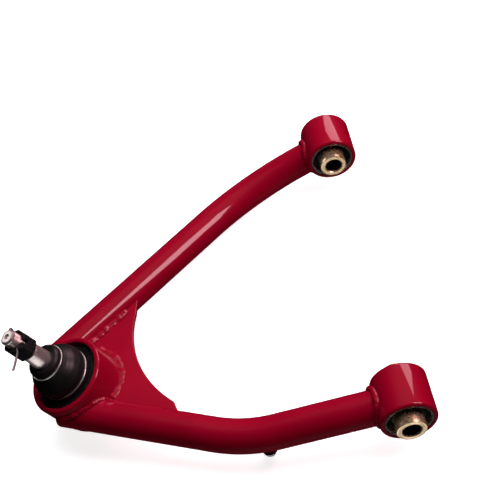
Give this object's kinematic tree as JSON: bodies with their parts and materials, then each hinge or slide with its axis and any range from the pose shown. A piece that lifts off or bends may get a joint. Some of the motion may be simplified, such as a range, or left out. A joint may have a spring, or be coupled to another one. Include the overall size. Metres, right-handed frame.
{
  "type": "control arm",
  "caption": "Welded tubular wishbone arm with bonded rubber bushings in its eyes and a greasable ball joint tilted in a thick ring.",
  "frame": {"origin": "middle of the pivot axis, half way between the two bushing eyes", "axes": "+Y along the pivot axis towards the front eye, -X towards the ball joint, +Z the side the stud is on"},
  "size_m": [0.3528, 0.388, 0.1508],
  "materials": {
    "red_coat": "gloss crimson powder coat",
    "black_steel": "black oxide, oiled",
    "chrome": "bright",
    "yellow_zinc": "pale yellow zinc plate",
    "bright_zinc": "bright zinc plate",
    "rubber": "moulded, satin",
    "nylon": "greased, natural",
    "bare_steel": "turned, bare"
  },
  "bodies": {
    "arm": {"front_tube": "red_coat", "rear_tube": "red_coat", "gusset_plate": "red_coat", "ball_joint_ring": "red_coat", "front_bushing_eye": "red_coat", "rear_bushing_eye": "red_coat", "front_bushing_shell": "bright_zinc", "rear_bushing_shell": "bright_zinc", "front_bushing_rubber": "rubber", "rear_bushing_rubber": "rubber", "bracket_post": "black_steel", "bracket_screw": "chrome", "ball_joint_housing": "black_steel", "upper_bearing": "nylon", "lower_bearing": "nylon", "preload_spring": "bright_zinc", "ball_joint_cap": "yellow_zinc", "grease_fitting": "bright_zinc", "dust_boot": "rubber", "boot_base_ring": "bright_zinc"},
    "liner": {"ball_liner": "nylon"},
    "boot_collar": {"boot_neck_ring": "bright_zinc"},
    "stud": {"ball_stud": "bare_steel", "castle_nut": "black_steel", "cotter_pin": "bare_steel"},
    "front_sleeve": {"front_bushing_sleeve": "yellow_zinc"},
    "rear_sleeve": {"rear_bushing_sleeve": "yellow_zinc"}
  },
  "joints": [
    {"name": "ball_tilt", "type": "hinge", "parent": "arm", "child": "liner", "pos_m": [-0.284, -0.0509, -0.0005], "axis": [0, 0.999, 0.0455], "range_deg": [-16, 16], "deforming": ["dust_boot"]},
    {"name": "ball_swing", "type": "hinge", "parent": "liner", "child": "boot_collar", "pos_m": [-0.284, -0.0509, -0.0005], "axis": [0.9579, -0.0131, 0.2868], "range_deg": [-16, 16], "deforming": ["dust_boot"]},
    {"name": "ball_spin", "type": "hinge", "parent": "boot_collar", "child": "stud", "pos_m": [-0.284, -0.0509, -0.0005], "axis": [-0.2871, -0.0436, 0.9569], "continuous": true},
    {"name": "front_bushing_twist", "type": "hinge", "parent": "arm", "child": "front_sleeve", "pos_m": [0, 0.163, 0], "axis": [0, 1, 0], "range_deg": [-25, 25], "stiffness_Nm_per_rad": 1},
    {"name": "rear_bushing_twist", "type": "hinge", "parent": "arm", "child": "rear_sleeve", "pos_m": [0, -0.163, 0], "axis": [0, 1, 0], "range_deg": [-25, 25], "stiffness_Nm_per_rad": 1}
  ]
}
